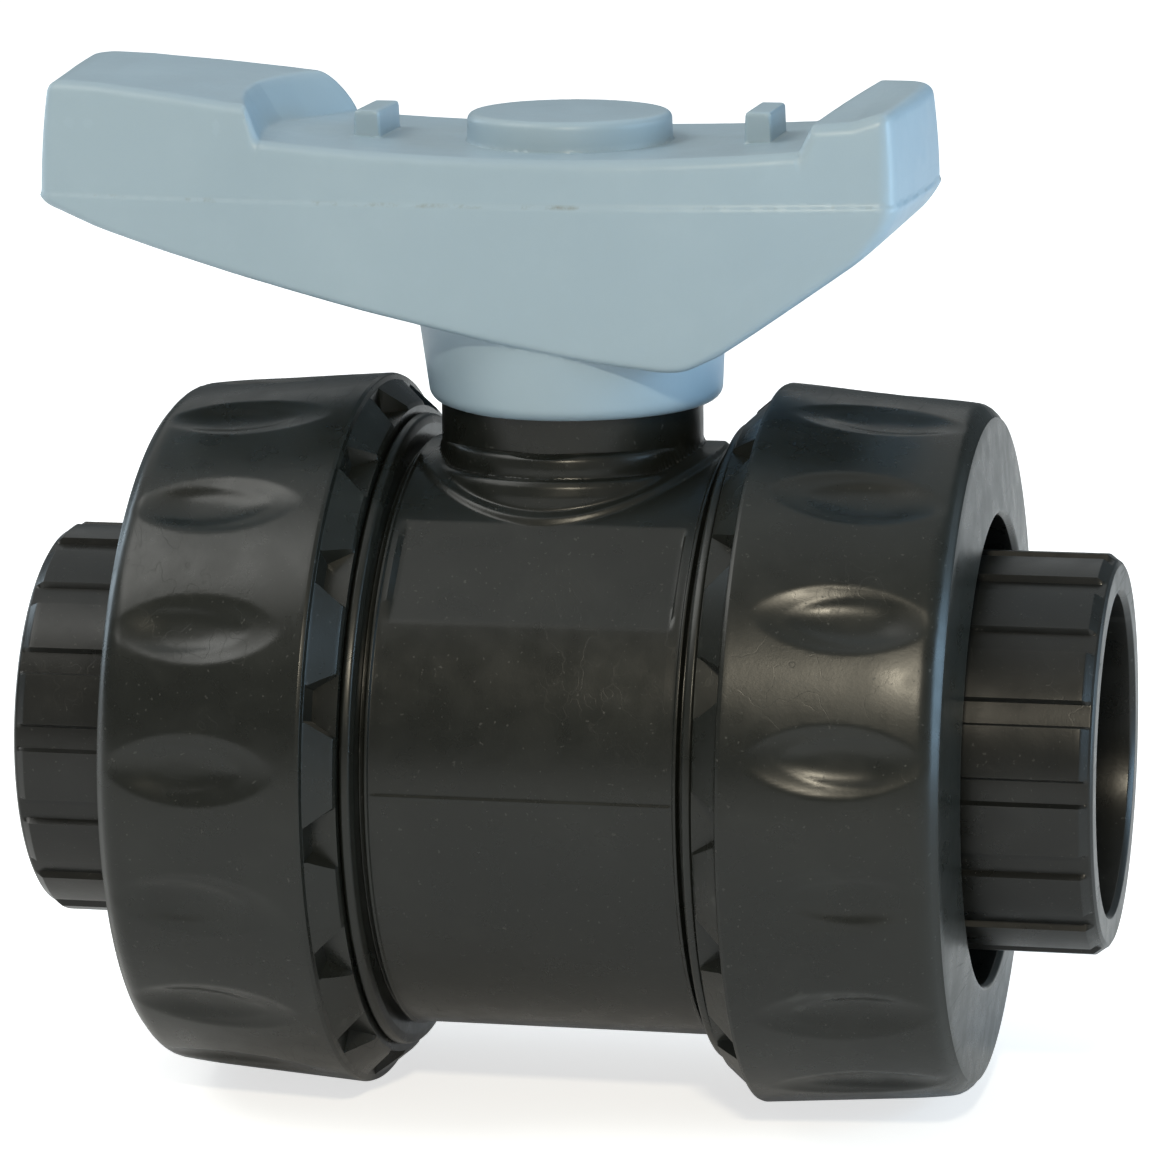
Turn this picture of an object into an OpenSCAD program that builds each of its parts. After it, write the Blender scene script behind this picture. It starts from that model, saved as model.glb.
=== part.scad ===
// Two-port ball valve with two union ends, quarter-turn handle.
// Origin: crossing of the pipe axis and the stem axis (centre of the ball).
// +X (right) runs along the pipe towards the adjustable seat, +Z up the stem, -Y is the front.
// The valve is drawn open, with the long handle wing lying along -X.

/* [Pipe ends] */
// wall radius of the pipe sockets
socket_r = 16.1; // [15.6:0.05:16.6]
// depth of the pipe sockets
socket_depth = 22; // [18:0.5:22]
// outside radius of the union end connectors
connector_r = 20.1; // [19.6:0.1:20.8]
// number of shallow flutes around each end connector
flute_count = 16; // [8:1:20]
// depth of the flutes
flute_depth = 0.7; // [0.3:0.1:1.0]

/* [Union nuts] */
// largest radius of the union nuts
nut_r = 36.4; // [35.8:0.1:37.5]
// number of grip hollows around each nut
grip_count = 16; // [10:1:18]
// depth of the grip hollows
grip_depth = 1.5; // [0.8:0.1:1.8]
// length of the union nuts
nut_length = 24.8; // [24.4:0.1:26]

/* [Body] */
// radius of the barrel between the nuts
barrel_r = 29.9; // [29.5:0.1:30.3]
// radius of the raised collars beside the nuts
collar_r = 32.4; // [31.8:0.1:33]
// radius of the neck under the handle
neck_r = 13.2; // [12.8:0.1:13.3]

/* [Ball and stem] */
// radius of the ball
ball_r = 20.5; // [20.2:0.05:20.7]
// radius of the bore through the ball
port_r = 12.5; // [10:0.1:13]
// radius of the stem shaft
stem_r = 7.95; // [7.9:0.01:7.97]

/* [Handle] */
// reach of the long wing from the stem
wing_long = 53.2; // [48:0.1:60]
// reach of the short wing from the stem
wing_short = 36.4; // [34:0.1:40]
// height of the handle deck above the pipe axis
deck_z = 60.8; // [60:0.1:62]

/* [Shown piece] */
// piece to draw

/* [Hidden] */
$fn = 96;
grey = [0.20, 0.21, 0.215];
dark_grey = [0.17, 0.18, 0.185];
blue = [0.62, 0.75, 0.84];
white = [0.93, 0.93, 0.90];
black = [0.05, 0.05, 0.05];

fit = 0.05;               // gap between close-fitting parts
handle_gap = 0.3;         // gap between handle and neck

// along the pipe; *_x values of body ends, nuts and connectors count from mid_x
mid_x = 0.7;              // middle of the pipe length, seen from the stem axis
barrel_x = 15.2;          // half length of the plain barrel
face_x = 29.4;            // body end faces
left_face = mid_x - face_x;
right_face = mid_x + face_x;
nut_x = 17.6;             // inner nut faces
nut_rim_x = nut_x + 2.9;  // end of the inner bevel, where the nut is widest
nut_end_x = nut_x + nut_length;
flange_length = 3.6;
flange_r = 28.3;
shoulder_x = face_x + flange_length + fit; // nut shoulder behind the flange
connector_end_x = face_x + 25.2;

// outside thread of the body, with the nut on it
thread_pitch = 2.75;
thread_count = 4;
thread_foot_r = 29.7;
thread_crest_r = 30.95;
nut_bore_r = thread_crest_r + 0.1;
nut_hole_r = 23.6;

// ball chamber, seats and seat carrier
chamber_r = 21.1;
carrier_r = 23.6;
carrier_pitch = 2.5;
carrier_thread_count = 3;
seat_in_r = 13.2;
seat_out_r = 18.6;
seat_x0 = 12.2;
seat_x1 = 17.2;
backing_ring_x = 18.52;
pocket_x = backing_ring_x + 1.33;  // floor of the seat pockets
face_ring_r = 16;                  // backing rings and end rings
end_groove_half = 1.3;             // half width of the end ring grooves
slot_r = 19.85;                    // carrier slots and the handle lugs, from their axis

// up the stem
collar_top = 24.25;
stem_shaft_top = 37.2;
stem_ring_z = [28.5, 32.5];
stem_groove_r = 5.85;
stem_groove_half = 1.2;
stem_ring_r = 6.93;
stem_ring_wire_r = 1.03;
head_width = 11;
head_top = 57;
neck_top = 38;
stop_top = 40.8;
hub_z = 34.8;

// ---------------------------------------------------------------- helpers
// solid of revolution about the pipe axis from [x, radius] points
module around_x(points) {
    rotate([0, 90, 0]) rotate_extrude() polygon([for (point = points) [point[1], point[0]]]);
}
module tube_x(x0, x1, outer, inner) {
    around_x([[x0, inner], [x1, inner], [x1, outer], [x0, outer]]);
}
module cyl_x(x0, x1, radius) {
    translate([x0, 0, 0]) rotate([0, 90, 0]) cylinder(h = x1 - x0, r = radius);
}
module cyl_z(z0, z1, radius) {
    translate([0, 0, z0]) cylinder(h = z1 - z0, r = radius);
}
module torus(ring_r, wire_r, sides = 32) {
    rotate_extrude() translate([ring_r, 0]) circle(r = wire_r, $fn = sides);
}
module torus_x(x, ring_r, wire_r) {
    translate([x, 0, 0]) rotate([0, 90, 0]) torus(ring_r, wire_r);
}
// square post on the stem axis
module post(width, z0, z1) {
    translate([-width / 2, -width / 2, z0]) cube([width, width, z1 - z0]);
}
// places a right-hand end about mid_x; an angle of 180 makes it the left-hand end
module at_end(angle = 0) {
    translate([mid_x, 0, 0]) rotate([0, 0, angle]) children();
}
// two opposite sectors of a ring about the stem axis, between two angles
module ring_sectors(z0, z1, outer, inner, from, to) {
    for (turn = [0, 180]) rotate([0, 0, turn]) intersection() {
        difference() {
            cyl_z(z0, z1, outer);
            cyl_z(z0 - 1, z1 + 1, inner);
        }
        translate([0, 0, z0 - 1]) linear_extrude(z1 - z0 + 2)
            polygon(concat([[0, 0]], arc(0, 0, 30, from, to, 6)));
    }
}
function arc(x, y, radius, from, to, steps) = [for (i = [0:steps])
    let (angle = from + (to - from) * i / steps)
    [x + radius * cos(angle), y + radius * sin(angle)]];
function flip_y(points) = [for (point = points) [point[0], -point[1]]];
function reversed(points) = [for (i = [len(points) - 1:-1:0]) points[i]];
// four-point thread profile: corners are the x offsets of foot, crest, crest, foot
function tooth(x, corners, foot, crest) =
    [for (i = [0:3]) [x + corners[i], i == 0 || i == 3 ? foot : crest]];
function teeth(x, pitch, count, corners, foot, crest) = [for (i = [0:count - 1])
    for (point = tooth(x + pitch * i, corners, foot, crest)) point];
module thread_grooves(x, pitch, count, corners, foot, crest) {
    for (i = [0:count - 1]) around_x(tooth(x + pitch * i, corners, foot, crest));
}

// ---------------------------------------------------------------- body
module barrel() difference() {
    half = barrel_x + 0.1;
    around_x([[mid_x - half, 0], [mid_x - half, barrel_r], [mid_x + half, barrel_r],
        [mid_x + half, 0]]);
    // flats on the front and back upper shoulders
    for (side = [0, 1]) mirror([0, side, 0]) rotate([45, 0, 0])
        translate([mid_x - barrel_x + 1, -20, barrel_r * cos(11.5)])
            cube([2 * barrel_x - 2, 40, 8]);
}
// ridge, groove, rounded collar and outside thread at one end
module body_end() around_x(concat(
    [[barrel_x - 1.2, 0], [barrel_x - 1.2, barrel_r - 0.3], [barrel_x - 0.2, barrel_r - 0.1],
        [barrel_x, barrel_r + 0.25], [barrel_x + 0.35, barrel_r + 0.25],
        [barrel_x + 0.5, barrel_r - 0.5], [barrel_x + 1.0, barrel_r - 0.6]],
    [[barrel_x + 1.05, collar_r - 1.0], [barrel_x + 1.25, collar_r - 0.35],
        [barrel_x + 1.6, collar_r], [nut_x - 0.25, collar_r], [nut_x - 0.05, collar_r - 0.25],
        [nut_x - 0.05, thread_foot_r]],
    teeth(nut_x + 0.2, thread_pitch, thread_count, [0.15, 0.8, 1.45, 2.1],
        thread_foot_r, thread_crest_r),
    [[face_x - 0.3, thread_foot_r], [face_x, thread_foot_r - 0.3], [face_x, 0]]));

// neck with its stepped foot, [radius, z]
neck_profile = [[0, 15], [16.9, 15], [16.8, 25.2], [16.5, 26.0], [16.0, 26.4], [15.4, 26.9],
    [15.2, 28.4], [14.8, 28.9], [14.1, 29.25], [13.75, 29.5], [13.6, 30.9], [13.45, 31.15],
    [neck_r, 31.25], [neck_r, neck_top], [0, neck_top]];

module valve_body() color(grey) difference() {
    union() {
        barrel();
        for (angle = [0, 180]) at_end(angle) body_end();
        rotate_extrude() polygon(neck_profile);
        // two stop sectors on the neck
        ring_sectors(neck_top - 1, stop_top, neck_r, 10.2, from = -45.5, to = -2.5);
    }
    // ball chamber, open towards the adjustable side
    cyl_x(-13.2, 18.5, chamber_r);
    cyl_x(18.4, right_face + 1, carrier_r + fit);
    // grooves that leave the inside thread crests for the carrier
    thread_grooves(20.6, carrier_pitch, carrier_thread_count, [0, 0.4, 1.2, 1.6],
        carrier_r - 1, carrier_r + 0.8);
    // fixed seat pocket and waterway
    cyl_x(-pocket_x, -13.1, seat_out_r + fit);
    cyl_x(left_face - 1, -19, port_r);
    // face groove for the end ring
    tube_x(left_face - 1, left_face + 2.26,
        face_ring_r + end_groove_half, face_ring_r - end_groove_half);
    // stem passage
    cyl_z(0, 25.15, 10.6);
    cyl_z(20, 45, stem_r + fit);
}

// ---------------------------------------------------------------- ball
port_flat_x = 16.4;

module ball() color(dark_grey) difference() {
    sphere(r = ball_r);
    cyl_x(-30, 30, port_r);
    // flat across each port
    for (side = [-1, 1]) translate([side * (port_flat_x + 10), 0, 0])
        cube([20, 50, 50], center = true);
    // drive slot
    translate([-3, -30, 15.3]) cube([6, 60, 10]);
    // pressure relief hole under the slot
    cyl_z(0, 20, 1.5);
}

// ---------------------------------------------------------------- stem
// half section of the shaft with its ring grooves, [radius, z]
shaft_profile = concat(
    [[0, 24], [stem_r, 24]],
    [for (z = stem_ring_z) for (point = [
        [stem_r, z - stem_groove_half], [stem_groove_r, z - stem_groove_half],
        [stem_groove_r, z + stem_groove_half], [stem_r, z + stem_groove_half]]) point],
    [[stem_r, stem_shaft_top], [0, stem_shaft_top]]);

module square_head() difference() {
    post(head_width, stem_shaft_top - 0.1, head_top);
    // chamfers on the four top edges
    for (angle = [0:90:270]) rotate([0, 0, angle])
        translate([head_width / 2, 0, head_top]) rotate([90, 0, 0])
            linear_extrude(16, center = true)
                polygon([[0.1, -0.9], [0.1, 0.1], [-0.9, 0.1]]);
}
module stem() color(dark_grey) union() {
    // drive tang
    translate([-2.92, -7.5, 15.75]) cube([5.84, 15, 6.4]);
    // collar that cannot blow out
    cyl_z(21.7, collar_top, 10.5);
    rotate_extrude() polygon(shaft_profile);
    square_head();
}
module stem_thrust_washer() color(white) difference() {
    cyl_z(collar_top + 0.02, 25.12, 10.45);
    cyl_z(24, 26, stem_r + fit);
}
module stem_o_ring(z) translate([0, 0, z]) torus(stem_ring_r, stem_ring_wire_r);
module stem_o_ring_lower() color(black) stem_o_ring(stem_ring_z[0]);
module stem_o_ring_upper() color(black) stem_o_ring(stem_ring_z[1]);

// ---------------------------------------------------------------- handle
// back long side in plan, from the long to the short wing, [x, y]
handle_flank = [[-44, 12.8], [-34, 14.2], [-24, 15.3], [-12, 16.0], [-2, 16.2], [8, 16.1],
    [18, 15.3], [26, 14.3]];
// plan outline, starting at the front corner of the long wing
handle_plan = concat(
    arc(-wing_long + 4.8, -7.6, 4.2, 196, 262, 6),
    flip_y(handle_flank),
    arc(wing_short - 4.6, -8.7, 4.5, 280, 352, 7),
    [[wing_short - 0.1, 0]],
    arc(wing_short - 4.2, 9.4, 4.2, 0, 78, 6),
    reversed(handle_flank),
    arc(-wing_long + 4.8, 7.6, 4.2, 98, 164, 6),
    arc(-wing_long + 30, 0, 30, 172, 188, 4));
// underside from the long to the short wing, [x, z]
handle_underside = [[-60, 58.2], [-wing_long + 0.2, 56.6], [-wing_long + 1.0, 55.4],
    [-wing_long + 3.4, 54.2], [-45.6, 52.4], [-39.4, 50.4], [-31.2, 47.9], [-25.1, 46.3],
    [-18.9, 44.7], [-12.9, 43.4], [-4.7, 41.8], [1.3, 40.7], [5.3, 40.1], [9.4, 39.7],
    [12.4, 39.6], [14.6, 39.9], [17.8, 41.6], [21.4, 44.0], [25.3, 46.5], [31.3, 50.8],
    [wing_short - 1.6, 53.6], [wing_short - 0.4, 54.8], [60, 57.4]];
// top from the short to the long wing, [x, z]
handle_top = [[60, 64.4], [wing_short - 0.2, 64.4], [wing_short - 0.9, 65.3],
    [wing_short - 2.0, 65.7], [wing_short - 4.6, 65.5], [25, deck_z + 0.2], [24, deck_z],
    [-26.2, deck_z], [-27.0, deck_z + 0.3], [-27.6, deck_z + 1.2], [-28.6, 64.6],
    [-29.4, 65.3], [-30.8, 65.6], [-46, 67.0], [-50.2, 66.9], [-wing_long + 1.2, 66.0],
    [-wing_long + 0.3, 64.4], [-60, 64.4]];
// one side of the cross-section, [y, z]: widest at the mould line, leaning in above and below
handle_section = [[-15.9, 38], [-16.3, 56.2], [-16.0, 59.0], [-14.8, 64.4], [-13.8, 66.2],
    [-12.2, 67.2]];
// hub, [radius, z]
hub_profile = [[0, hub_z], [14.2, hub_z], [14.9, hub_z + 0.25], [15.3, hub_z + 0.9],
    [15.4, hub_z + 1.8], [15.2, 41.5], [14.6, 50], [0, 50]];
// round cap on the deck, [radius, z above the deck]
cap_profile = [[0, -1], [10.35, -1], [10.35, 1.6], [10.2, 2.3], [9.7, 2.8], [9.0, 3.0],
    [0, 3.1]];
// end view of a lug, [x, z above the deck]
lug_profile = [[-1.35, -1], [1.35, -1], [1.35, 2.6], [1.0, 3.3], [-1.0, 3.3], [-1.35, 2.6]];
// hollows under the wings, [left end x, length, width]
wing_hollows = [[-44, 10.5, 19.6], [-31.3, 12.5, 23.2], [18.8, 11.4, 22.8]];
hollow_base = 30;
hollow_top = 57.5;

function on_deck(points) = [for (point = points) [point[0], deck_z + point[1]]];

module handle_shell() intersection() {
    translate([0, 0, 30]) linear_extrude(45) polygon(handle_plan);
    rotate([90, 0, 0]) linear_extrude(60, center = true)
        polygon(concat(handle_underside, handle_top));
    rotate([90, 0, 90]) linear_extrude(160, center = true) polygon(concat(handle_section,
        [for (point = reversed(handle_section)) [-point[0], point[1]]]));
}
module eased_shell() difference() {
    handle_shell();
    // deck edges between the two end blocks
    for (side = [-1, 1]) translate([-26.5, side * 16, deck_z]) rotate([45, 0, 0])
        translate([0, -1.4, -1.4]) cube([50.5, 2.8, 2.8]);
}
// bore over the neck, with two stop keys left standing
module neck_bore() difference() {
    cyl_z(hub_z - 1, stop_top + handle_gap, neck_r + handle_gap);
    ring_sectors(neck_top + handle_gap, stop_top + 2, neck_r + 2, 9.4, from = 88, to = 134);
}
module handle() color(blue) difference() {
    union() {
        eased_shell();
        rotate_extrude() polygon(hub_profile);
        rotate_extrude() polygon(on_deck(cap_profile));
        // two lugs that fit the slots of the seat carrier
        for (side = [-1, 1]) translate([side * slot_r, 0, 0]) rotate([90, 0, 0])
            linear_extrude(8.6, center = true) polygon(on_deck(lug_profile));
    }
    neck_bore();
    // square socket on the stem head
    post(head_width + 2 * fit, 36, head_top + 0.2);
    cyl_z(36, stop_top + handle_gap, 8.2);
    for (hollow = wing_hollows) translate([hollow[0], -hollow[2] / 2, hollow_base])
        cube([hollow[1], hollow[2], hollow_top - hollow_base]);
}

// ---------------------------------------------------------------- seats and rings
module seat() difference() {
    tube_x(seat_x0, seat_x1, seat_out_r, seat_in_r);
    sphere(r = ball_r + 0.03);
}
module seat_left() color(white) mirror([1, 0, 0]) seat();
module seat_right() color(white) seat();
module backing_ring(x) torus_x(x, face_ring_r, 1.29);
module seat_backing_ring_left() color(black) backing_ring(-backing_ring_x);
module seat_backing_ring_right() color(black) backing_ring(backing_ring_x);

// threaded part of the carrier
module carrier_head() {
    foot_r = carrier_r - 1.4;
    around_x(concat(
        [[18.6, port_r], [18.6, foot_r], [20.3, foot_r]],
        teeth(20.2, carrier_pitch, carrier_thread_count, [0.2, 0.7, 1.8, 2.3],
            foot_r, carrier_r),
        [[28.2, foot_r], [28.4, carrier_r], [right_face - fit, carrier_r],
            [right_face - fit, port_r]]));
}
// carrier that holds the adjustable seat, turned by two slots
module seat_carrier() color(grey) difference() {
    union() {
        tube_x(12.4, 19.4, chamber_r - fit, port_r);
        carrier_head();
    }
    // seat pocket
    cyl_x(12, pocket_x, seat_out_r + fit);
    // groove for the carrier ring
    tube_x(15.4, 17.8, chamber_r + 1, chamber_r - 2.05);
    // face groove for the end ring
    tube_x(right_face - 2.25, right_face + 1,
        face_ring_r + end_groove_half, face_ring_r - end_groove_half);
    // two driving slots
    for (side = [-1, 1]) translate([right_face - 3.7, side * slot_r - 1.5, -4.5])
        cube([6, 3, 9]);
}
module seat_carrier_o_ring() color(black) torus_x(16.6, chamber_r - 1.02, 1.0);
module end_o_ring(x) torus_x(x, face_ring_r, 1.1);
module end_o_ring_left() color(black) end_o_ring(left_face + 1.13);
module end_o_ring_right() color(black) end_o_ring(right_face - 1.15);

// ---------------------------------------------------------------- union ends
flute_floor_r = connector_r - flute_depth;
tube_start_x = face_x + 3;

module flange() around_x([[face_x, 0], [face_x + flange_length, 0],
    [face_x + flange_length, flange_r - 0.5], [face_x + flange_length - 0.5, flange_r],
    [face_x + 0.4, flange_r], [face_x, flange_r - 0.4]]);
// tube up to the floor of the flutes
module core_tube() around_x([[tube_start_x, 0], [connector_end_x, 0],
    [connector_end_x, flute_floor_r - 0.5], [connector_end_x - 0.45, flute_floor_r + 0.05],
    [tube_start_x, flute_floor_r + 0.05]]);
// lands between the flutes, ending in a chamfer before the mouth
module fluted_tube(first_flute) difference() {
    around_x([[tube_start_x, 0], [connector_end_x - 0.5, 0],
        [connector_end_x - 0.5, flute_floor_r + 0.03], [connector_end_x - 1.25, connector_r],
        [tube_start_x, connector_r]]);
    for (i = [0:flute_count - 1]) rotate([i * 360 / flute_count + first_flute, 0, 0])
        translate([shoulder_x, -1.2, flute_floor_r])
            cube([connector_end_x - face_x, 2.4, 3]);
}
// first_flute is the angle of one flute about the pipe axis
module connector(first_flute) difference() {
    union() {
        flange();
        core_tube();
        fluted_tube(first_flute);
    }
    cyl_x(face_x - 1, connector_end_x, port_r);
    // pipe socket with a small lead-in
    cyl_x(connector_end_x - socket_depth, connector_end_x + 1, socket_r);
    around_x([[connector_end_x - 0.7, 0], [connector_end_x + 0.1, 0],
        [connector_end_x + 0.1, socket_r + 0.8], [connector_end_x - 0.7, socket_r]]);
}
module end_connector_left() color(grey) at_end(180) connector(first_flute = 6);
module end_connector_right() color(grey) at_end() connector(first_flute = -1.3);

// each grip hollow is cut by an upright torus, tilted with the taper
grip_ring_r = 19.8;
grip_wire_r = 4.2;

// tapered grip ring, rounded outer corner, dished outer face, flange shoulder inside
module nut_blank() around_x(concat(
    [[nut_x, nut_bore_r], [nut_x, 33.1], [nut_x + 0.15, 33.4], [nut_rim_x - 0.15, nut_r - 0.75],
        [nut_rim_x, nut_r - 0.2], [nut_rim_x + 0.25, nut_r]],
    arc(nut_end_x - 4.35, nut_r - 4.1, 2.6, 85, 5, 5),
    [[nut_end_x - 0.2, 24.5], [nut_end_x, 23.95], [nut_end_x - 0.35, nut_hole_r],
        [shoulder_x, nut_hole_r], [shoulder_x, flange_r + 0.1],
        [face_x + 0.3, flange_r + 0.1], [face_x + 0.3, nut_bore_r]]));
// first_grip is the angle of one hollow about the pipe axis
module nut(first_grip) difference() {
    nut_blank();
    // inside thread
    thread_grooves(nut_x, thread_pitch, thread_count, [0.45, 0.95, 1.7, 2.2], 30.9, 32.1);
    // grip hollows
    for (i = [0:grip_count - 1]) rotate([i * 360 / grip_count + first_grip, 0, 0])
        translate([nut_rim_x + 9.3, 0, nut_r - 0.9]) rotate([0, 4.4, 0])
            translate([0, 0, grip_ring_r + grip_wire_r - grip_depth]) rotate([90, 0, 0])
                torus(grip_ring_r, grip_wire_r, sides = 48);
    // notches in the inner bevel, between the hollows
    for (i = [0:grip_count - 1]) rotate([(i + 0.5) * 360 / grip_count + first_grip, 0, 0])
        translate([0, 0, 33]) linear_extrude(8) polygon([[nut_x - 1, -3.4],
            [nut_rim_x - 0.4, -1.7], [nut_rim_x - 0.4, 1.7], [nut_x - 1, 3.4]]);
}
module union_nut_left() color(grey) at_end(180) nut(first_grip = 5);
module union_nut_right() color(grey) at_end() nut(first_grip = 12.2);

valve_body();
ball();
stem();
stem_thrust_washer();
stem_o_ring_lower();
stem_o_ring_upper();
handle();
seat_left();
seat_right();
seat_backing_ring_left();
seat_backing_ring_right();
seat_carrier();
seat_carrier_o_ring();
end_o_ring_left();
end_o_ring_right();
end_connector_left();
end_connector_right();
union_nut_left();
union_nut_right();
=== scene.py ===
"""Ball valve with two union nuts, two end connectors and a winged handle.

The pipe runs along X (left is -X), the front is -Y and up is +Z. The stem stands on the Z axis.
Shapes are in millimetres and become metres when a mesh is made. Lights, floor and camera are
in metres. Solids of revolution about the pipe take x from the middle of the body's length and
measure their angle from the front towards the top.
"""
import math
import numpy as np
import bpy
from mathutils import Matrix, Vector


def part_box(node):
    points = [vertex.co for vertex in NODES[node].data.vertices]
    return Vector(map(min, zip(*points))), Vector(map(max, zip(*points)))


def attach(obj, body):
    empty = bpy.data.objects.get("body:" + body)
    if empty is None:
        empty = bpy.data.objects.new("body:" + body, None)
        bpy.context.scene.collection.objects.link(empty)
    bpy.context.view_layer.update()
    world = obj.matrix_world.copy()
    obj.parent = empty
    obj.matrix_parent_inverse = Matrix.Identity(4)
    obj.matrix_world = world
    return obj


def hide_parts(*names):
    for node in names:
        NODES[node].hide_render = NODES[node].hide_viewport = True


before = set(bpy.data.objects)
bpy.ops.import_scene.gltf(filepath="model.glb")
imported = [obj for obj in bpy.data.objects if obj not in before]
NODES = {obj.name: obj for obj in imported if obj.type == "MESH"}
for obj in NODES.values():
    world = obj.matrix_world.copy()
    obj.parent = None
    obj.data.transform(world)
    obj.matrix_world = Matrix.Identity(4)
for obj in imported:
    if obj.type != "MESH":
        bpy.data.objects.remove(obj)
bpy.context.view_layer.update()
MM = 0.001


# ------------------------------------------------------------------ places from the CAD, mm
def span(node):
    """Low and high corners of a CAD piece."""
    low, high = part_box(node)
    return np.array(low) * 1000.0, np.array(high) * 1000.0


body_low, body_high = span("valve_body")
nut_left_low, _ = span("union_nut_left")
nut_low, nut_high = span("union_nut_right")
_, connector_high = span("end_connector_right")
handle_low, handle_high = span("handle")

MID = float(body_low[0] + body_high[0]) / 2      # middle of the body's length
FACE = float(body_high[0] - body_low[0]) / 2     # body end faces, from MID
NECK_TOP = float(body_high[2])                   # top of the stop sectors
COLLAR_R = float(body_high[1])
NUT_R = float(nut_high[2])                       # widest radius of a nut
NUT_IN = float(nut_low[0]) - MID                 # inner nut face, from MID
NUT_END = float(nut_high[0]) - MID               # outer nut face, from MID
CONNECTOR_END = float(connector_high[0]) - MID   # connector mouth, from MID
HUB_Z = float(handle_low[2])                     # underside of the handle's hub

UNION_PITCH = 2.75                               # thread between nuts and body
CARRIER_PITCH = 2.5                              # thread in the body's right bore
RIBS = 16                                        # repeats round a nut or a connector
RIB_PITCH = 360.0 / RIBS                         # degrees
HALF_RIB = RIB_PITCH / 2


# ------------------------------------------------------------------ blending
def smoothstep(start, end, value):
    t = np.clip((value - start) / (end - start), 0.0, 1.0)
    return t * t * (3 - 2 * t)


def window(value, rise_start, rise_end, fall_start, fall_end):
    """1 between the rise and the fall, 0 outside them."""
    return smoothstep(rise_start, rise_end, value) * (1 - smoothstep(fall_start, fall_end, value))


def smooth_max(a, b, width):
    h = np.clip(0.5 + 0.5 * (a - b) / width, 0, 1)
    return b + (a - b) * h + width * h * (1 - h)


def smooth_min(a, b, width):
    return -smooth_max(-a, -b, width)


# ------------------------------------------------------------------ meshes
def turn_outwards(ob):
    """Makes the faces of a closed mesh look outwards, judged by its signed volume."""
    mesh = ob.data
    points = np.zeros(len(mesh.vertices) * 3, np.float32)
    mesh.vertices.foreach_get("co", points)
    points = points.reshape(-1, 3).astype(np.float64)
    mesh.calc_loop_triangles()
    corners = np.zeros(len(mesh.loop_triangles) * 3, np.int32)
    mesh.loop_triangles.foreach_get("vertices", corners)
    a, b, c = points[corners.reshape(-1, 3)].transpose(1, 0, 2)
    if np.einsum("ij,ij->i", a, np.cross(b, c)).sum() < 0:
        mesh.flip_normals()
    mesh.update()


def link_mesh(name, mesh):
    ob = bpy.data.objects.new(name, mesh)
    bpy.context.scene.collection.objects.link(ob)
    turn_outwards(ob)
    return ob


def flat_mesh(name, points, faces):
    """Flat shaded closed mesh from lists of corners."""
    mesh = bpy.data.meshes.new(name)
    mesh.from_pydata((np.asarray(points) * MM).tolist(), [], faces)
    mesh.validate()
    mesh.update()
    return link_mesh(name, mesh)


def quad_mesh(name, points, quads):
    """Smooth shaded closed mesh of quads, built in bulk."""
    mesh = bpy.data.meshes.new(name)
    mesh.vertices.add(len(points))
    mesh.vertices.foreach_set("co", (points * MM).astype(np.float32).ravel())
    mesh.loops.add(quads.size)
    mesh.loops.foreach_set("vertex_index", quads.ravel().astype(np.int32))
    mesh.polygons.add(len(quads))
    mesh.polygons.foreach_set("loop_start", np.arange(0, quads.size, 4, dtype=np.int32))
    mesh.update(calc_edges=True)
    mesh.validate()
    mesh.polygons.foreach_set("use_smooth", np.ones(len(mesh.polygons), bool))
    return link_mesh(name, mesh)


def torus_mesh(name, points):
    """Mesh of a (columns, rows, 3) grid of points that closes both ways."""
    here = np.arange(points.shape[0] * points.shape[1]).reshape(points.shape[:2])
    next_column = np.roll(here, -1, 0)
    quads = np.stack([here, next_column, np.roll(next_column, -1, 1), np.roll(here, -1, 1)], -1)
    return quad_mesh(name, points.reshape(-1, 3), quads.reshape(-1, 4))


def fillet_path(corners, default_step):
    """Dense closed loop of (x, r) with rounded corners.

    Each corner is (x, r, fillet radius[, step]); step spaces the points up to the next corner.
    """
    count = len(corners)
    pieces = []
    for i in range(count):
        corner = np.array(corners[i][:2], float)
        fillet = corners[i][2]
        to_last = np.array(corners[(i - 1) % count][:2], float) - corner
        to_next = np.array(corners[(i + 1) % count][:2], float) - corner
        last_length, next_length = np.linalg.norm(to_last), np.linalg.norm(to_next)
        to_last, to_next = to_last / last_length, to_next / next_length
        angle = math.acos(max(-1, min(1, float(to_last @ to_next))))
        if fillet <= 0 or abs(angle - math.pi) < 1e-3:
            pieces.append([corner])
            continue
        cut = min(fillet / math.tan(angle / 2), 0.48 * last_length, 0.48 * next_length)
        radius = cut * math.tan(angle / 2)
        bisector = (to_last + to_next) / np.linalg.norm(to_last + to_next)
        centre = corner + bisector * (radius / math.sin(angle / 2))
        start = math.atan2(*(corner + to_last * cut - centre)[::-1])
        end = math.atan2(*(corner + to_next * cut - centre)[::-1])
        sweep = (end - start + math.pi) % (2 * math.pi) - math.pi
        steps = max(3, int(math.ceil(abs(sweep) / math.radians(16))))
        turns = [start + sweep * j / steps for j in range(steps + 1)]
        pieces.append([centre + radius * np.array([math.cos(a), math.sin(a)]) for a in turns])
    path = []
    for i in range(count):
        path.extend(pieces[i])
        step = corners[i][3] if len(corners[i]) > 3 else default_step
        start, end = pieces[i][-1], pieces[(i + 1) % count][0]
        extra = int(np.linalg.norm(end - start) // step)
        for j in range(1, extra + 1):
            t = j / (extra + 1)
            path.append(start * (1 - t) + end * t)
    return np.array(path)


# ------------------------------------------------------------------ revolving about the pipe
def spread(profile, *columns):
    """The profile's x and r, then each per-column array, as (columns, rows) grids."""
    shape = (len(columns[0]), len(profile))
    flat = [profile[None, :, 0], profile[None, :, 1]] + [column[:, None] for column in columns]
    return [np.broadcast_to(values, shape) for values in flat]


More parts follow.
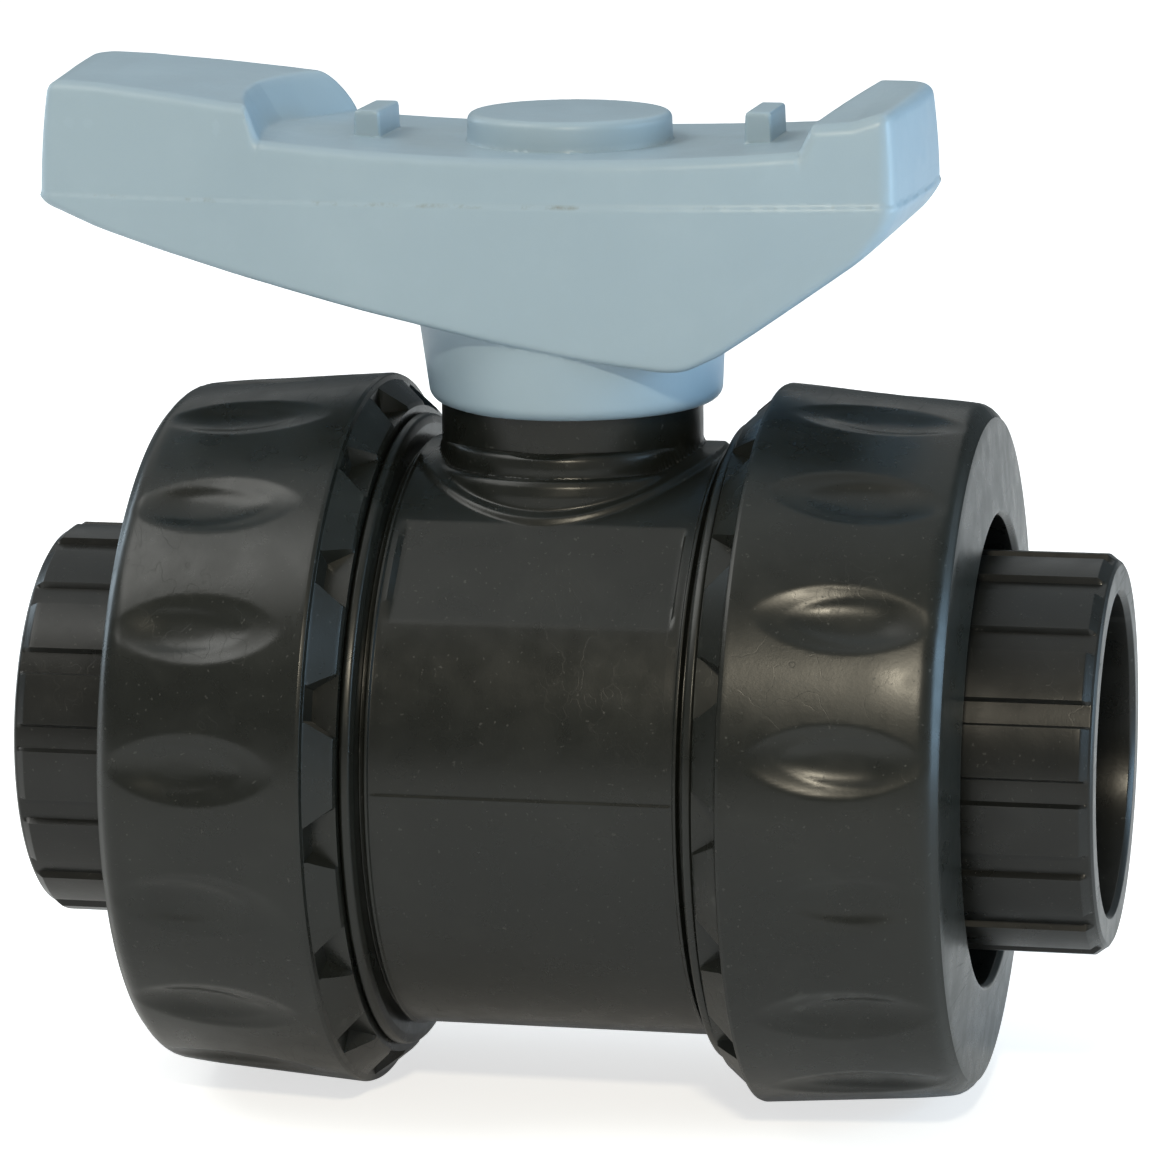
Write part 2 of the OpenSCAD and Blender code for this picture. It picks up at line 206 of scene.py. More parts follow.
def ribbed_columns(half_cell):
    """Column angles all round, and each one's angle from the middle of its rib pitch."""
    half_cell = np.array(half_cell)
    cell = np.concatenate([-half_cell[:0:-1], half_cell])[:-1]
    return np.concatenate([cell + RIB_PITCH * i for i in range(RIBS)]), np.tile(cell, RIBS)


def pipe_solid(name, x, radius, theta, side):
    """Mesh about the pipe axis; side -1 mirrors it onto the left."""
    points = np.stack([MID + side * x, -radius * np.cos(theta), radius * np.sin(theta)], -1)
    if side < 0:
        points = points[::-1]
    return torus_mesh(name, points)


def thread_wave(phase):
    """0 at the root, 1 at the crest, trapezoid with soft flanks."""
    return window(phase % 1.0, 0.06, 0.30, 0.56, 0.80)


# ------------------------------------------------------------------ union nuts
RIM = NUT_IN + 2.9                               # where the notched inner rim ends
NUT_HALF_CELL = [0, .5, 1, 1.5, 2, 2.5, 3, 3.5, 4, 4.5, 5, 5.5, 6.1, 6.7, 7.08, 7.42, 8.1, 9.1,
                 10.2, 11.25]                    # column angles, degrees
NUT_BORE = 31.35
# x, r, fillet[, step]: inner face, outside, outer face, then back along the inside
NUT_PROFILE = [
    (NUT_IN, NUT_BORE, 0.25), (NUT_IN, 33.1, 0.12), (NUT_IN + 0.2, 33.55, 0.2, 0.35),
    (RIM - 0.15, NUT_R - 0.72, 0.12), (RIM - 0.02, NUT_R - 0.15, 0.12),
    (RIM + 0.35, NUT_R - 0.02, 0.3, 0.42), (NUT_END - 0.85, NUT_R - 1.55, 2.3),
    (NUT_END, 24.0, 0.45), (NUT_END - 0.6, 23.6, 0.3, 1.0), (FACE + 3.65, 23.6, 0.1, 1.0),
    (FACE + 3.65, 28.4, 0.15), (FACE + 0.3, 28.4, 0.1, 0.8), (FACE + 0.3, NUT_BORE, 0.15, 0.23)]
NOTCH_WIDE, NOTCH_NARROW = 5.5, 2.75             # half widths at the face and further in, degrees
NOTCH_COLUMN = 4.0                               # the columns that follow a notch's edges
NOTCH_FLOOR_R = 33.12


def slant_to_notches(x, local, outer):
    """Moves the columns near each notch so that two of them follow its slanting edges."""
    t = np.clip((x - NUT_IN) / 2.5, 0, 1)
    edge = NOTCH_WIDE * (1 - t) + NOTCH_NARROW * t
    fade = (1 - smoothstep(RIM + 0.2, RIM + 2.5, x)) * outer
    edge = edge * fade + NOTCH_COLUMN * (1 - fade)
    off = HALF_RIB - np.abs(local)               # from the notch's middle
    beyond = edge + (off - NOTCH_COLUMN) / (HALF_RIB - NOTCH_COLUMN) * (HALF_RIB - edge)
    moved = np.where(off < NOTCH_COLUMN, off / NOTCH_COLUMN * edge, beyond)
    return np.sign(local + 1e-9) * (HALF_RIB - moved)


def grip_hollow(x, arc, middle, half_length, half_width, depth, power):
    lens = np.clip(1 - ((x - middle) / half_length) ** 2, 0, 1) ** 1.35 - (arc / half_width) ** 2
    return depth * (1 - (1 - np.clip(lens, 0, 1)) ** power)


def build_nut(name, side, turn):
    degrees, local = ribbed_columns(NUT_HALF_CELL)
    x, r, degrees, local = spread(fillet_path(NUT_PROFILE, 0.6), degrees, local)
    outer = r > 32.2
    inside = (r < 31.5) & (x < FACE + 0.2) & (x > NUT_IN + 0.12)
    theta = np.radians(degrees - local + slant_to_notches(x, local, outer))
    in_notch = (HALF_RIB - np.abs(local) < 3.95) & (x < RIM - 0.2) & outer
    r = np.where(in_notch, np.minimum(r, NOTCH_FLOOR_R), r)
    # the outside falls away towards the outer face
    fall = 0.25 * np.clip((x - (NUT_END - 7.5)) / 6.0, 0, 1.1) ** 2
    r = r - np.where(outer & (r > 33.5), fall, 0)
    # a wide shallow hollow and a narrower, shorter one inside it
    arc = np.radians(local) * 35.6
    wide = grip_hollow(x, arc, middle=RIM + 11.3, half_length=8.9, half_width=3.5,
                       depth=0.53, power=1.35)
    narrow = grip_hollow(x, arc, middle=RIM + 13.1, half_length=7.4, half_width=2.4,
                         depth=0.37, power=1.5)
    narrow = narrow * (1 - smoothstep(RIM + 14.0, RIM + 19.5, x))
    r = r - np.where(outer & (x > RIM + 0.3) & (x < NUT_END - 0.25), wide + narrow, 0)
    # inside thread, a true helix
    present = window(x, NUT_IN + 0.4, NUT_IN + 1.5, FACE - 1.2, FACE - 0.1)
    threaded = 32.25 - 1.15 * thread_wave(x / UNION_PITCH - np.degrees(theta) / 360.0)
    r = np.where(inside, r * (1 - present) + threaded * present, r)
    return pipe_solid(name, x, r, theta + math.radians(turn), side)


# ------------------------------------------------------------------ end connectors
CONNECTOR_HALF_CELL = [0, 0.9, 1.8, 2.6, 3.12, 3.55, 3.98, 4.6, 5.6, 7.2, 9.2, 11.25]  # degrees
TUBE_R = 20.1
FLUTE_FLOOR_R = 19.46
CONNECTOR_BORE = 12.6
FLANGE_R = 28.25
SOCKET_DEPTH = 22
# x, r, fillet[, step]: flange against the body, tube, mouth, then the socket's inside
CONNECTOR_PROFILE = [
    (FACE + 0.02, CONNECTOR_BORE, 0.2, 1.5), (FACE + 0.02, 27.9, 0.15),
    (FACE + 0.4, FLANGE_R, 0.2), (FACE + 3.1, FLANGE_R, 0.3), (FACE + 3.58, 27.8, 0.2, 1.0),
    (FACE + 3.58, TUBE_R, 0.3, 0.5), (CONNECTOR_END - 1.3, TUBE_R, 0.25, 0.25),
    (CONNECTOR_END - 0.5, 19.5, 0.2, 0.2), (CONNECTOR_END - 0.25, 19.35, 0.15),
    (CONNECTOR_END, 18.95, 0.3, 0.6), (CONNECTOR_END, 16.55, 0.25, 0.5),
    (CONNECTOR_END - 0.55, 16.1, 0.2, 1.6), (CONNECTOR_END - SOCKET_DEPTH, 16.02, 0.3, 0.8),
    (CONNECTOR_END - SOCKET_DEPTH, CONNECTOR_BORE, 0.25, 1.0)]


def build_connector(name, side, turn):
    degrees, local = ribbed_columns(CONNECTOR_HALF_CELL)
    x, r, degrees, local = spread(fillet_path(CONNECTOR_PROFILE, 0.8), degrees, local)
    tube = (r > 19.0) & (r < 20.3) & (x > FACE + 3.7) & (x < CONNECTOR_END - 0.42)
    flute = 1 - smoothstep(3.2, 3.9, np.abs(local))
    r = np.where(tube, r - np.clip(r - FLUTE_FLOOR_R, 0, None) * flute, r)
    return pipe_solid(name, x, r, np.radians(degrees) + math.radians(turn), side)


# ------------------------------------------------------------------ body
BARREL = 15.2                                    # half length of the barrel between the collars
BARREL_R = 29.9
CARRIER_BORE, CHAMBER_BORE, SEAT_BORE, WATERWAY = 23.65, 21.12, 18.66, 12.52
CARRIER_X, SEAT_X, WATERWAY_X = 18.45 - MID, -13.15 - MID, -19.85 - MID   # steps in the bore
GROOVE_IN, GROOVE_OUT, GROOVE_DEPTH = 14.7, 17.3, 2.25                  # in the left face
# x, r, fillet[, step]: outside from the barrel to the right face
BODY_OUTSIDE = [
    (BARREL - 1.2, BARREL_R, 0.4, 0.26), (BARREL - 0.12, BARREL_R - 0.02, 0.1),
    (BARREL + 0.03, BARREL_R + 0.26, 0.1), (BARREL + 0.32, BARREL_R + 0.26, 0.12),
    (BARREL + 0.5, BARREL_R - 0.55, 0.15), (BARREL + 1.0, BARREL_R - 0.6, 0.12),
    (BARREL + 1.03, COLLAR_R - 1.05, 0.1), (BARREL + 1.3, COLLAR_R - 0.12, 0.45),
    (NUT_IN - 0.32, COLLAR_R, 0.3), (NUT_IN - 0.05, COLLAR_R - 0.4, 0.15),
    (NUT_IN - 0.05, 29.72, 0.1, 0.23), (FACE - 0.25, 29.65, 0.15), (FACE, 29.3, 0.1, 1.0)]
# the same columns: inside, from the right face back to the groove in the left one
BODY_INSIDE = [
    (FACE, CARRIER_BORE, 0.2, 0.25), (CARRIER_X, CARRIER_BORE, 0.1, 0.8),
    (CARRIER_X, CHAMBER_BORE, 0.1, 1.2), (SEAT_X, CHAMBER_BORE, 0.2, 1.0),
    (SEAT_X, SEAT_BORE, 0.1, 0.8), (WATERWAY_X, SEAT_BORE, 0.1, 0.8),
    (WATERWAY_X, WATERWAY, 0.2, 1.0), (-FACE, WATERWAY, 0.2, 0.8),
    (-FACE, GROOVE_IN, 0.1, 0.6), (-FACE + GROOVE_DEPTH, GROOVE_IN, 0.1, 0.8),
    (-FACE + GROOVE_DEPTH, GROOVE_OUT, 0.1, 0.8), (-FACE, GROOVE_OUT, 0.1, 1.0)]
# start, end, step in degrees: finer at the two mould lines and under the neck
BODY_COLUMNS = [(-47.0, -2.0, 0.75), (-2.0, 2.0, 0.2), (2.0, 46.0, 0.75), (46.0, 134.0, 0.2),
                (134.0, 178.0, 0.75), (178.0, 182.0, 0.2), (182.0, 313.0, 0.75)]
# two tiers of the neck's foot: squeeze along x, distances from the stem axis, top heights there
NECK_FOOT = [
    (1.035, [0, 14.5, 14.95, 15.25, 15.45, 15.75], [29.05, 29.0, 28.8, 28.3, 27.4, 15.0]),
    (1.085, [0, 13.6, 14.0, 14.25, 14.4, 14.65], [31.45, 31.4, 31.2, 30.8, 30.0, 18.0])]
NECK_WALL = 13.2                                 # outer radius of the neck
NECK_RING_TOP = 37.98
NECK_PROFILE = [(7.0, 26.0, 0), (12.0, 26.0, 0, 1.2), (NECK_WALL, 28.0, 0, 0.5),
                (NECK_WALL, NECK_RING_TOP, 0.35, 1.0), (8.9, NECK_RING_TOP, 0.3, 1.0),
                (7.0, 36.6, 0, 1.0)]             # radius, z, fillet[, step]
# section of a stop sector: radii and heights
STOP_R = np.array([10.25, 10.5, 12.9, NECK_WALL, NECK_WALL, 10.25])
STOP_Z = np.array([NECK_TOP - 0.25, NECK_TOP, NECK_TOP, NECK_TOP - 0.3, 37.0, 37.0])
STEM_HOLES = [(15.0, 25.15, 10.6), (20.0, 45.0, 8.0)]   # bottom, top, radius


def dome_radius(x, theta, squeeze, distances, heights):
    """Radius about the pipe axis at which a dome round the stem axis is met, by bisection."""
    low, high = np.full(x.shape, 20.0), np.full(x.shape, 34.0)
    for _ in range(26):
        middle = (low + high) / 2
        distance = np.sqrt(((x + MID) * squeeze) ** 2 + (middle * np.cos(theta)) ** 2)
        above = middle * np.sin(theta) - np.interp(distance, distances, heights, right=-50) > 0
        high = np.where(above, middle, high)
        low = np.where(above, low, middle)
    return (low + high) / 2


def shape_barrel(x, r, theta, on_barrel):
    """Flats, foot of the neck and mould lines."""
    around = np.degrees(theta)
    # soft flats on the front and back shoulders
    for shoulder in (45.0, 135.0):
        off = around - shoulder
        flat = (BARREL_R * math.cos(math.radians(11.5))
                / np.maximum(np.cos(np.radians(np.clip(off, -80, 80))), 0.2))
        present = smoothstep(BARREL - 0.9, BARREL - 1.25, np.abs(x))
        cut = np.where(np.abs(off) < 40, smooth_min(r, flat, 0.05), r)
        r = np.where(on_barrel & (np.abs(off) < 14), r * (1 - present) + cut * present, r)
    # oval pad with the stepped foot on it
    near = on_barrel & (np.abs(x + MID) < 17.6) & (np.sin(theta) > 0.4)
    oval = np.sqrt(((x + MID) / 15.6) ** 2 + (r * np.cos(theta) / 16.35) ** 2)
    lift = np.clip(BARREL_R + 0.40 - r, 0, None) * smoothstep(1.025, 0.985, oval)
    r = np.where(near, r + lift, r)
    for tier in NECK_FOOT:
        r = np.where(near, smooth_max(r, dome_radius(x, theta, *tier), 0.25), r)
    # mould lines, a fine ridge and step along the front and the back
    for line in (0.0, 180.0):
        off = (around - line + 180) % 360 - 180
        ridge = 0.09 * np.exp(-(off / 0.30) ** 2)
        step = 0.05 * smoothstep(0.2, -0.5, off) * smoothstep(-3.0, -1.0, off)
        r = np.where(on_barrel & (np.abs(x) < BARREL - 0.4), r + ridge + step, r)
    return r


def about_stem(radii, heights, angles):
    """(angles, points, 3) grid of a section turned about the stem axis."""
    angles = angles[:, None]
    return np.stack([radii[None, :] * np.cos(angles), radii[None, :] * np.sin(angles),
                     heights[None, :].repeat(len(angles), 0)], -1)


def full_circle(count):
    return np.radians(np.arange(count) * 360.0 / count)


def build_stop(start):
    """Sector on top of the neck, turned by start degrees about the stem axis."""
    count, corners = 18, len(STOP_R)
    angles = np.radians(np.linspace(-45.3, -2.7, count) + start)
    points = about_stem(STOP_R, STOP_Z, angles).reshape(-1, 3)
    faces = [[i * corners + j, (i + 1) * corners + j, (i + 1) * corners + (j + 1) % corners,
              i * corners + (j + 1) % corners] for i in range(count - 1) for j in range(corners)]
    faces += [list(range(corners))[::-1], [(count - 1) * corners + j for j in range(corners)]]
    return flat_mesh("stop_tool", points, faces)


def build_hole(bottom, top, radius):
    count = 128
    rings = about_stem(np.array([radius, radius]), np.array([bottom, top]), full_circle(count))
    faces = [[i, (i + 1) % count, count + (i + 1) % count, count + i] for i in range(count)]
    faces += [list(range(count))[::-1], list(range(count, 2 * count))]
    return flat_mesh("hole_tool", rings.transpose(1, 0, 2).reshape(-1, 3), faces)


def evaluated_mesh(ob):
    bpy.context.view_layer.update()
    return bpy.data.meshes.new_from_object(ob.evaluated_get(
        bpy.context.evaluated_depsgraph_get()))


def boolean(ob, tool, operation):
    """Applies the tool to the object's mesh and removes the tool."""
    modifier = ob.modifiers.new("b", "BOOLEAN")
    modifier.operation = operation
    # guards against a Blender built without the Manifold solver
    try:
        modifier.solver = "MANIFOLD"
    except TypeError:
        modifier.solver = "EXACT"
    modifier.object = tool
    before = len(ob.data.polygons)
    mesh = evaluated_mesh(ob)
    # the solver failed if most faces are gone
    if len(mesh.polygons) < before * 0.5:
        modifier.solver = "EXACT"
        mesh = evaluated_mesh(ob)
    ob.modifiers.clear()
    ob.data = mesh
    bpy.data.objects.remove(tool)


def build_body():
    left = [(-x, r, fillet) for x, r, fillet, *_ in BODY_OUTSIDE[::-1]]
    left[1] += (0.23,)                           # step along the left thread
    left[-1] += (0.26,)                          # step along the barrel
    profile = fillet_path(left + BODY_OUTSIDE + BODY_INSIDE, 0.8)
    x, r, degrees = spread(profile, np.concatenate([np.arange(*run) for run in BODY_COLUMNS]))
    theta = np.radians(degrees)
    turns = np.degrees(theta) / 360.0
    outer = r > 27.5
    in_carrier_bore = (r > 23.2) & (r < 24.0)
    r = shape_barrel(x, r, theta, outer & (np.abs(x) <= BARREL - 0.10))
    # outside threads
    for side in (-1, 1):
        out = side * x
        present = window(out, NUT_IN + 0.35, NUT_IN + 1.3, FACE - 1.9, FACE - 0.5)
        zone = outer & (out > NUT_IN) & (out < FACE - 0.2) & (r < 30.5)
        phase = out / UNION_PITCH - side * turns + 0.4
        r = np.where(zone, r + 1.25 * thread_wave(phase) * present, r)
    # female thread for the carrier
    present = window(x, 20.4 - MID, 21.4 - MID, 26.5 - MID, 27.6 - MID)
    cut = 0.75 * thread_wave(x / CARRIER_PITCH - turns) * present
    r = np.where(in_carrier_bore, r + cut, r)
    body = pipe_solid("valve_body_shell", x, r, theta, 1)
    # neck, stop sectors and stem passage
    section = fillet_path(NECK_PROFILE, 1.2)
    neck = torus_mesh("neck_tool", about_stem(section[:, 0], section[:, 1], full_circle(240)))
    added = [neck] + [build_stop(start) for start in (0, 180)]
    holes = [build_hole(*hole) for hole in STEM_HOLES]
    for tool in added:
        boolean(body, tool, "UNION")
    for tool in holes:
        boolean(body, tool, "DIFFERENCE")
    return body


# ------------------------------------------------------------------ surface nets
def settle(field, points):
    """Moves points towards field = 0 along the field's own gradient."""
    reach = 0.02
    value = field(*points.T)
    slope = np.stack([(field(*(points + shift).T) - field(*(points - shift).T)) / (2 * reach)
                      for shift in reach * np.eye(3)], -1)
    square = np.maximum((slope * slope).sum(1), 0.05)
    return points - np.clip((value / square)[:, None] * slope, -0.25, 0.25)


def relax(points, quads):
    """Moves each point halfway to the mean of its neighbours."""
    total = np.zeros_like(points)
    count = np.zeros(len(points))
    for i in range(4):
        j = (i + 1) % 4
        for here, there in ((i, j), (j, i)):
            np.add.at(total, quads[:, here], points[quads[:, there]])
            np.add.at(count, quads[:, here], 1)
    return points * 0.5 + 0.5 * total / count[:, None]


def surface_net(name, field, low, cell, shape):
    """Closed mesh of field = 0 (negative inside), one point per grid cell that it crosses."""
    xs, ys, zs = [low[i] + cell * np.arange(shape[i]) for i in range(3)]
    value = np.empty(shape, np.float32)
    for i in range(0, shape[0], 16):             # in slabs, to save memory
        value[i:i + 16] = field(*np.meshgrid(xs[i:i + 16], ys, zs, indexing="ij"))
    solid = value < 0
    nx, ny, nz = [size - 1 for size in shape]
    filled = np.zeros((nx, ny, nz), np.uint8)    # solid corners of each cell
    for i, j, k in np.ndindex(2, 2, 2):
        filled += solid[i:nx + i, j:ny + j, k:nz + k]
    active = (filled > 0) & (filled < 8)
    cells = np.argwhere(active)
    ids = -np.ones(active.shape, np.int64)
    ids[active] = np.arange(len(cells))
    # each point starts at the mean of the crossings on its cell's edges
    total = np.zeros((len(cells), 3))
    count = np.zeros(len(cells))
    for axis in range(3):
        across = [other for other in range(3) if other != axis]
        for offset in np.ndindex(2, 2):
            start = cells.copy()
            start[:, across] += offset
            end = start.copy()
            end[:, axis] += 1
            v0 = value[tuple(start.T)].astype(float)
            v1 = value[tuple(end.T)].astype(float)
            crossed = (v0 < 0) != (v1 < 0)
            point = start.astype(float)
            point[:, axis] += np.where(crossed, v0 / np.where(crossed, v0 - v1, 1), 0)
            total += np.where(crossed[:, None], point, 0)
            count += crossed
    points = low + cell * total / count[:, None]
    # one quad round every crossed grid edge
    quads = []
    for axis in range(3):
        across = [(axis + 1) % 3, (axis + 2) % 3]
        edges = np.argwhere(np.diff(solid, axis=axis))
        within = [(edges[:, o] > 0) & (edges[:, o] < shape[o] - 1) for o in across]
        edges = edges[within[0] & within[1]]
        corners = []
        for offset in ((-1, -1), (0, -1), (0, 0), (-1, 0)):
            corner = edges.copy()
            corner[:, across] += offset
            corners.append(ids[tuple(corner.T)])
        corners = np.stack(corners, -1)
        quads.append(np.where(solid[tuple(edges.T)][:, None], corners, corners[:, ::-1]))
    quads = np.concatenate(quads)
    quads = quads[(quads >= 0).all(1)]
    for _ in range(4):
        points = relax(points, quads)
        for _ in range(2):
            points = settle(field, points)
    return quad_mesh(name, points, quads)


def polygon_distance(px, py, polygon):
    """Signed distance to a closed polygon, negative inside."""
    px, py = np.broadcast_arrays(px, py)
    nearest = np.full(px.shape, 1e9)             # squared
    inside = np.zeros(px.shape, bool)
    for i, (ax, ay) in enumerate(polygon):
        bx, by = polygon[(i + 1) % len(polygon)]
        ex, ey = bx - ax, by - ay
        wx, wy = px - ax, py - ay
        t = np.clip((wx * ex + wy * ey) / max(ex * ex + ey * ey, 1e-12), 0, 1)
        nearest = np.minimum(nearest, (wx - ex * t) ** 2 + (wy - ey * t) ** 2)
        level = (ay > py) != (by > py)
        inside ^= level & (px < ax + (py - ay) * ex / (ey if by != ay else 1e-12))
    distance = np.sqrt(nearest)
    return np.where(inside, -distance, distance)


def round_max(radius, *distances):
    """Intersection of shapes, given as distances, with its edges rounded."""
    squares = sum(np.clip(d + radius, 0, None) ** 2 for d in distances)
    return np.sqrt(squares) - radius + np.minimum(np.maximum.reduce(distances) + radius, 0)


# ------------------------------------------------------------------ handle
LONG_REACH = -float(handle_low[0])               # long wing, to the left
SHORT_REACH = float(handle_high[0])              # short wing, to the right
HALF_WIDTH = float(handle_high[1]) - 0.02
DECK = float(handle_high[2]) - 6.2               # top of the handle over the stem
# line of the mould round the sides: height at x = -MOULD_X, and its slope along x
MOULD_Z, MOULD_SLOPE, MOULD_X = 56.2, 0.0055, 12.0
BORE_TOP = 41.1
TABLE_X, TABLE_Y, TABLE_STEP = (-60, 42), (-22, 22), 0.1   # reach and step of the plan tables

# x, y of the front edge seen from above, for a half width of 16.2; the back mirrors it
LONG_EDGE = [
    (-44, -12.7), (-39, -13.5), (-34, -14.15), (-29, -14.75), (-24, -15.25), (-18, -15.7),
    (-12, -16.0), (-7, -16.15), (-2, -16.2), (3, -16.2), (8, -16.05), (13, -15.75),
    (18, -15.3), (22, -14.85), (26, -14.25)]
# x, z along the underside of the wings
UNDERSIDE = np.array([
    (-60, 55.9), (-54, 55.6), (-52, 55.0), (-50.5, 54.5), (-45.6, 52.7), (-39.4, 50.9),
    (-31.2, 48.7), (-25.1, 47.2), (-18.9, 45.7), (-12.9, 44.4), (-4.7, 42.65), (1.3, 41.55),
    (5.3, 40.9), (9.4, 40.35), (12.2, 40.0), (14.4, 40.1), (17.8, 41.7), (21.4, 44.1),
    (25.3, 46.8), (31.3, 51.0), (33.8, 53.2), (35.4, 54.7), (42, 57.2)])
# top of the block on the long wing: x, z at the front, z at the back
BLOCK_TOP = np.array([
    (-60, 64.9, 66.1), (-LONG_REACH, 66.35, 67.5), (-51.5, 67.1, 68.1), (-50, 67.2, 68.15),
    (-46, 67.1, 67.95), (-38, 66.35, 67.15), (-32, 65.6, 66.45), (-20, 64.8, 64.9)])
# foot of the block's slope: y, x
BLOCK_FOOT = np.array([(-16, -27.8), (-12, -28.7), (-8, -29.5), (-4, -29.9), (1, -29.6),
                       (6, -28.2), (11, -26.3), (16, -24.4)])
# length of the block's slope: y, length along x
BLOCK_SLOPE = np.array([(-16, 1.3), (-9, 2.0), (0, 3.0), (8, 3.6), (16, 3.5)])
# front height of the short wing's ramp above the deck: x, height
RAMP_FRONT = np.array([(26, 3.5), (30.5, 3.75), (32.5, 4.4), (34, 4.8), (42, 4.8)])
# hollows under the wings: left x, right x, half width
WING_HOLLOWS = [(-44.0, -33.5, 9.8), (-31.3, -18.8, 11.6), (18.8, 30.2, 11.4)]


def handle_outline():
    """Polygon seen from above, anticlockwise from the left end's front corner."""
    def arc(cx, cy, radius, start, end, steps):
        angles = [math.radians(start + (end - start) * i / steps) for i in range(steps + 1)]
        return [(cx + radius * math.cos(a), cy + radius * math.sin(a)) for a in angles]

    scale = HALF_WIDTH / 16.2
    right_end = [(SHORT_REACH - 0.05 - (y - 7.0) ** 2 / 300.0, y)
                 for y in np.linspace(-10.6, 8.6, 13)]
    return (arc(-LONG_REACH + 2.95, -9.2, 2.4, 190.4, 262, 7)
            + [(x, y * scale) for x, y in LONG_EDGE]
            + arc(SHORT_REACH - 3.5, -10.9, 2.3, 277.4, 353, 8) + right_end
            + arc(SHORT_REACH - 4.5, 9.2, 4.4, 4, 78, 8)
            + [(x, -y * scale) for x, y in LONG_EDGE[::-1]]
            + arc(-LONG_REACH + 3.8, 7.5, 4.7, 98, 176, 10))


def wing_top(x, y):
    """Height of a dished deck between a tall block on the long wing and a ramp on the short."""
    back = smoothstep(-15, 15, y)
    dish = DECK + 0.0015 * np.clip(np.abs(x), 0, 30) ** 2
    stations, block_front, block_back = BLOCK_TOP.T
    block = (np.interp(x, stations, block_front) * (1 - back)
             + np.interp(x, stations, block_back) * back)
    t = np.clip((np.interp(y, *BLOCK_FOOT.T) - x) / np.interp(y, *BLOCK_SLOPE.T), 0, 1)
    rise = 0.25 * t + 0.75 * (t * t * (3 - 2 * t))
    bulge = np.clip(y / 16, 0, 1)                # the slope grows rounder towards the back
    rise = np.sin(0.5 * np.pi * t) ** 0.65 * bulge + rise * (1 - bulge)
    ramp_start = 25.5 * (1 - back) + 22.9 * back
    ramp_end = 26.6 * (1 - back) + 29.8 * back
    crest = DECK + np.interp(x, *RAMP_FRONT.T) * (1 - back) + 5.25 * back
    t = np.clip((x - ramp_start) / (ramp_end - ramp_start), 0, 1)
    return dish + (block - dish) * rise + (crest - dish) * t


class PlanTable:
    """Values on a grid over the plan, read back with linear interpolation."""

    def __init__(self, values):
        self.values = values

    def __call__(self, x, y):
        values = self.values
        i = np.clip((x - TABLE_X[0]) / TABLE_STEP, 0, values.shape[0] - 1.001)
        j = np.clip((y - TABLE_Y[0]) / TABLE_STEP, 0, values.shape[1] - 1.001)
        i0, j0 = i.astype(int), j.astype(int)
        fi, fj = i - i0, j - j0
        return ((values[i0, j0] * (1 - fi) + values[i0 + 1, j0] * fi) * (1 - fj)
                + (values[i0, j0 + 1] * (1 - fi) + values[i0 + 1, j0 + 1] * fi) * fj)


def handle_openings(x, y, z, rho):
    """Everything cut from below; rho is the distance from the stem axis."""
    # bore over the neck with its two stop keys
    angle = np.degrees(np.arctan2(y, x))
    bore = round_max(0.15, rho - 13.5, z - BORE_TOP)
    for middle in (111.0, -69.0):
        off = np.radians((angle - middle + 180) % 360 - 180)
        key = round_max(0.15, np.abs(off) * rho - np.radians(23.0) * rho, 9.4 - rho, 38.3 - z)
        bore = np.maximum(bore, -key)
    square_socket = np.maximum(np.maximum(np.abs(x), np.abs(y)) - 5.55, z - 57.2)
    well = np.maximum(rho - 8.2, z - BORE_TOP)
    hole = np.minimum(np.minimum(bore, square_socket), well)
    for x0, x1, half_width in WING_HOLLOWS:
        box = round_max(0.6, np.abs(x - (x0 + x1) / 2) - (x1 - x0) / 2,
                        np.abs(y) - half_width, z - 57.3)
        hole = np.minimum(hole, box)
    return hole


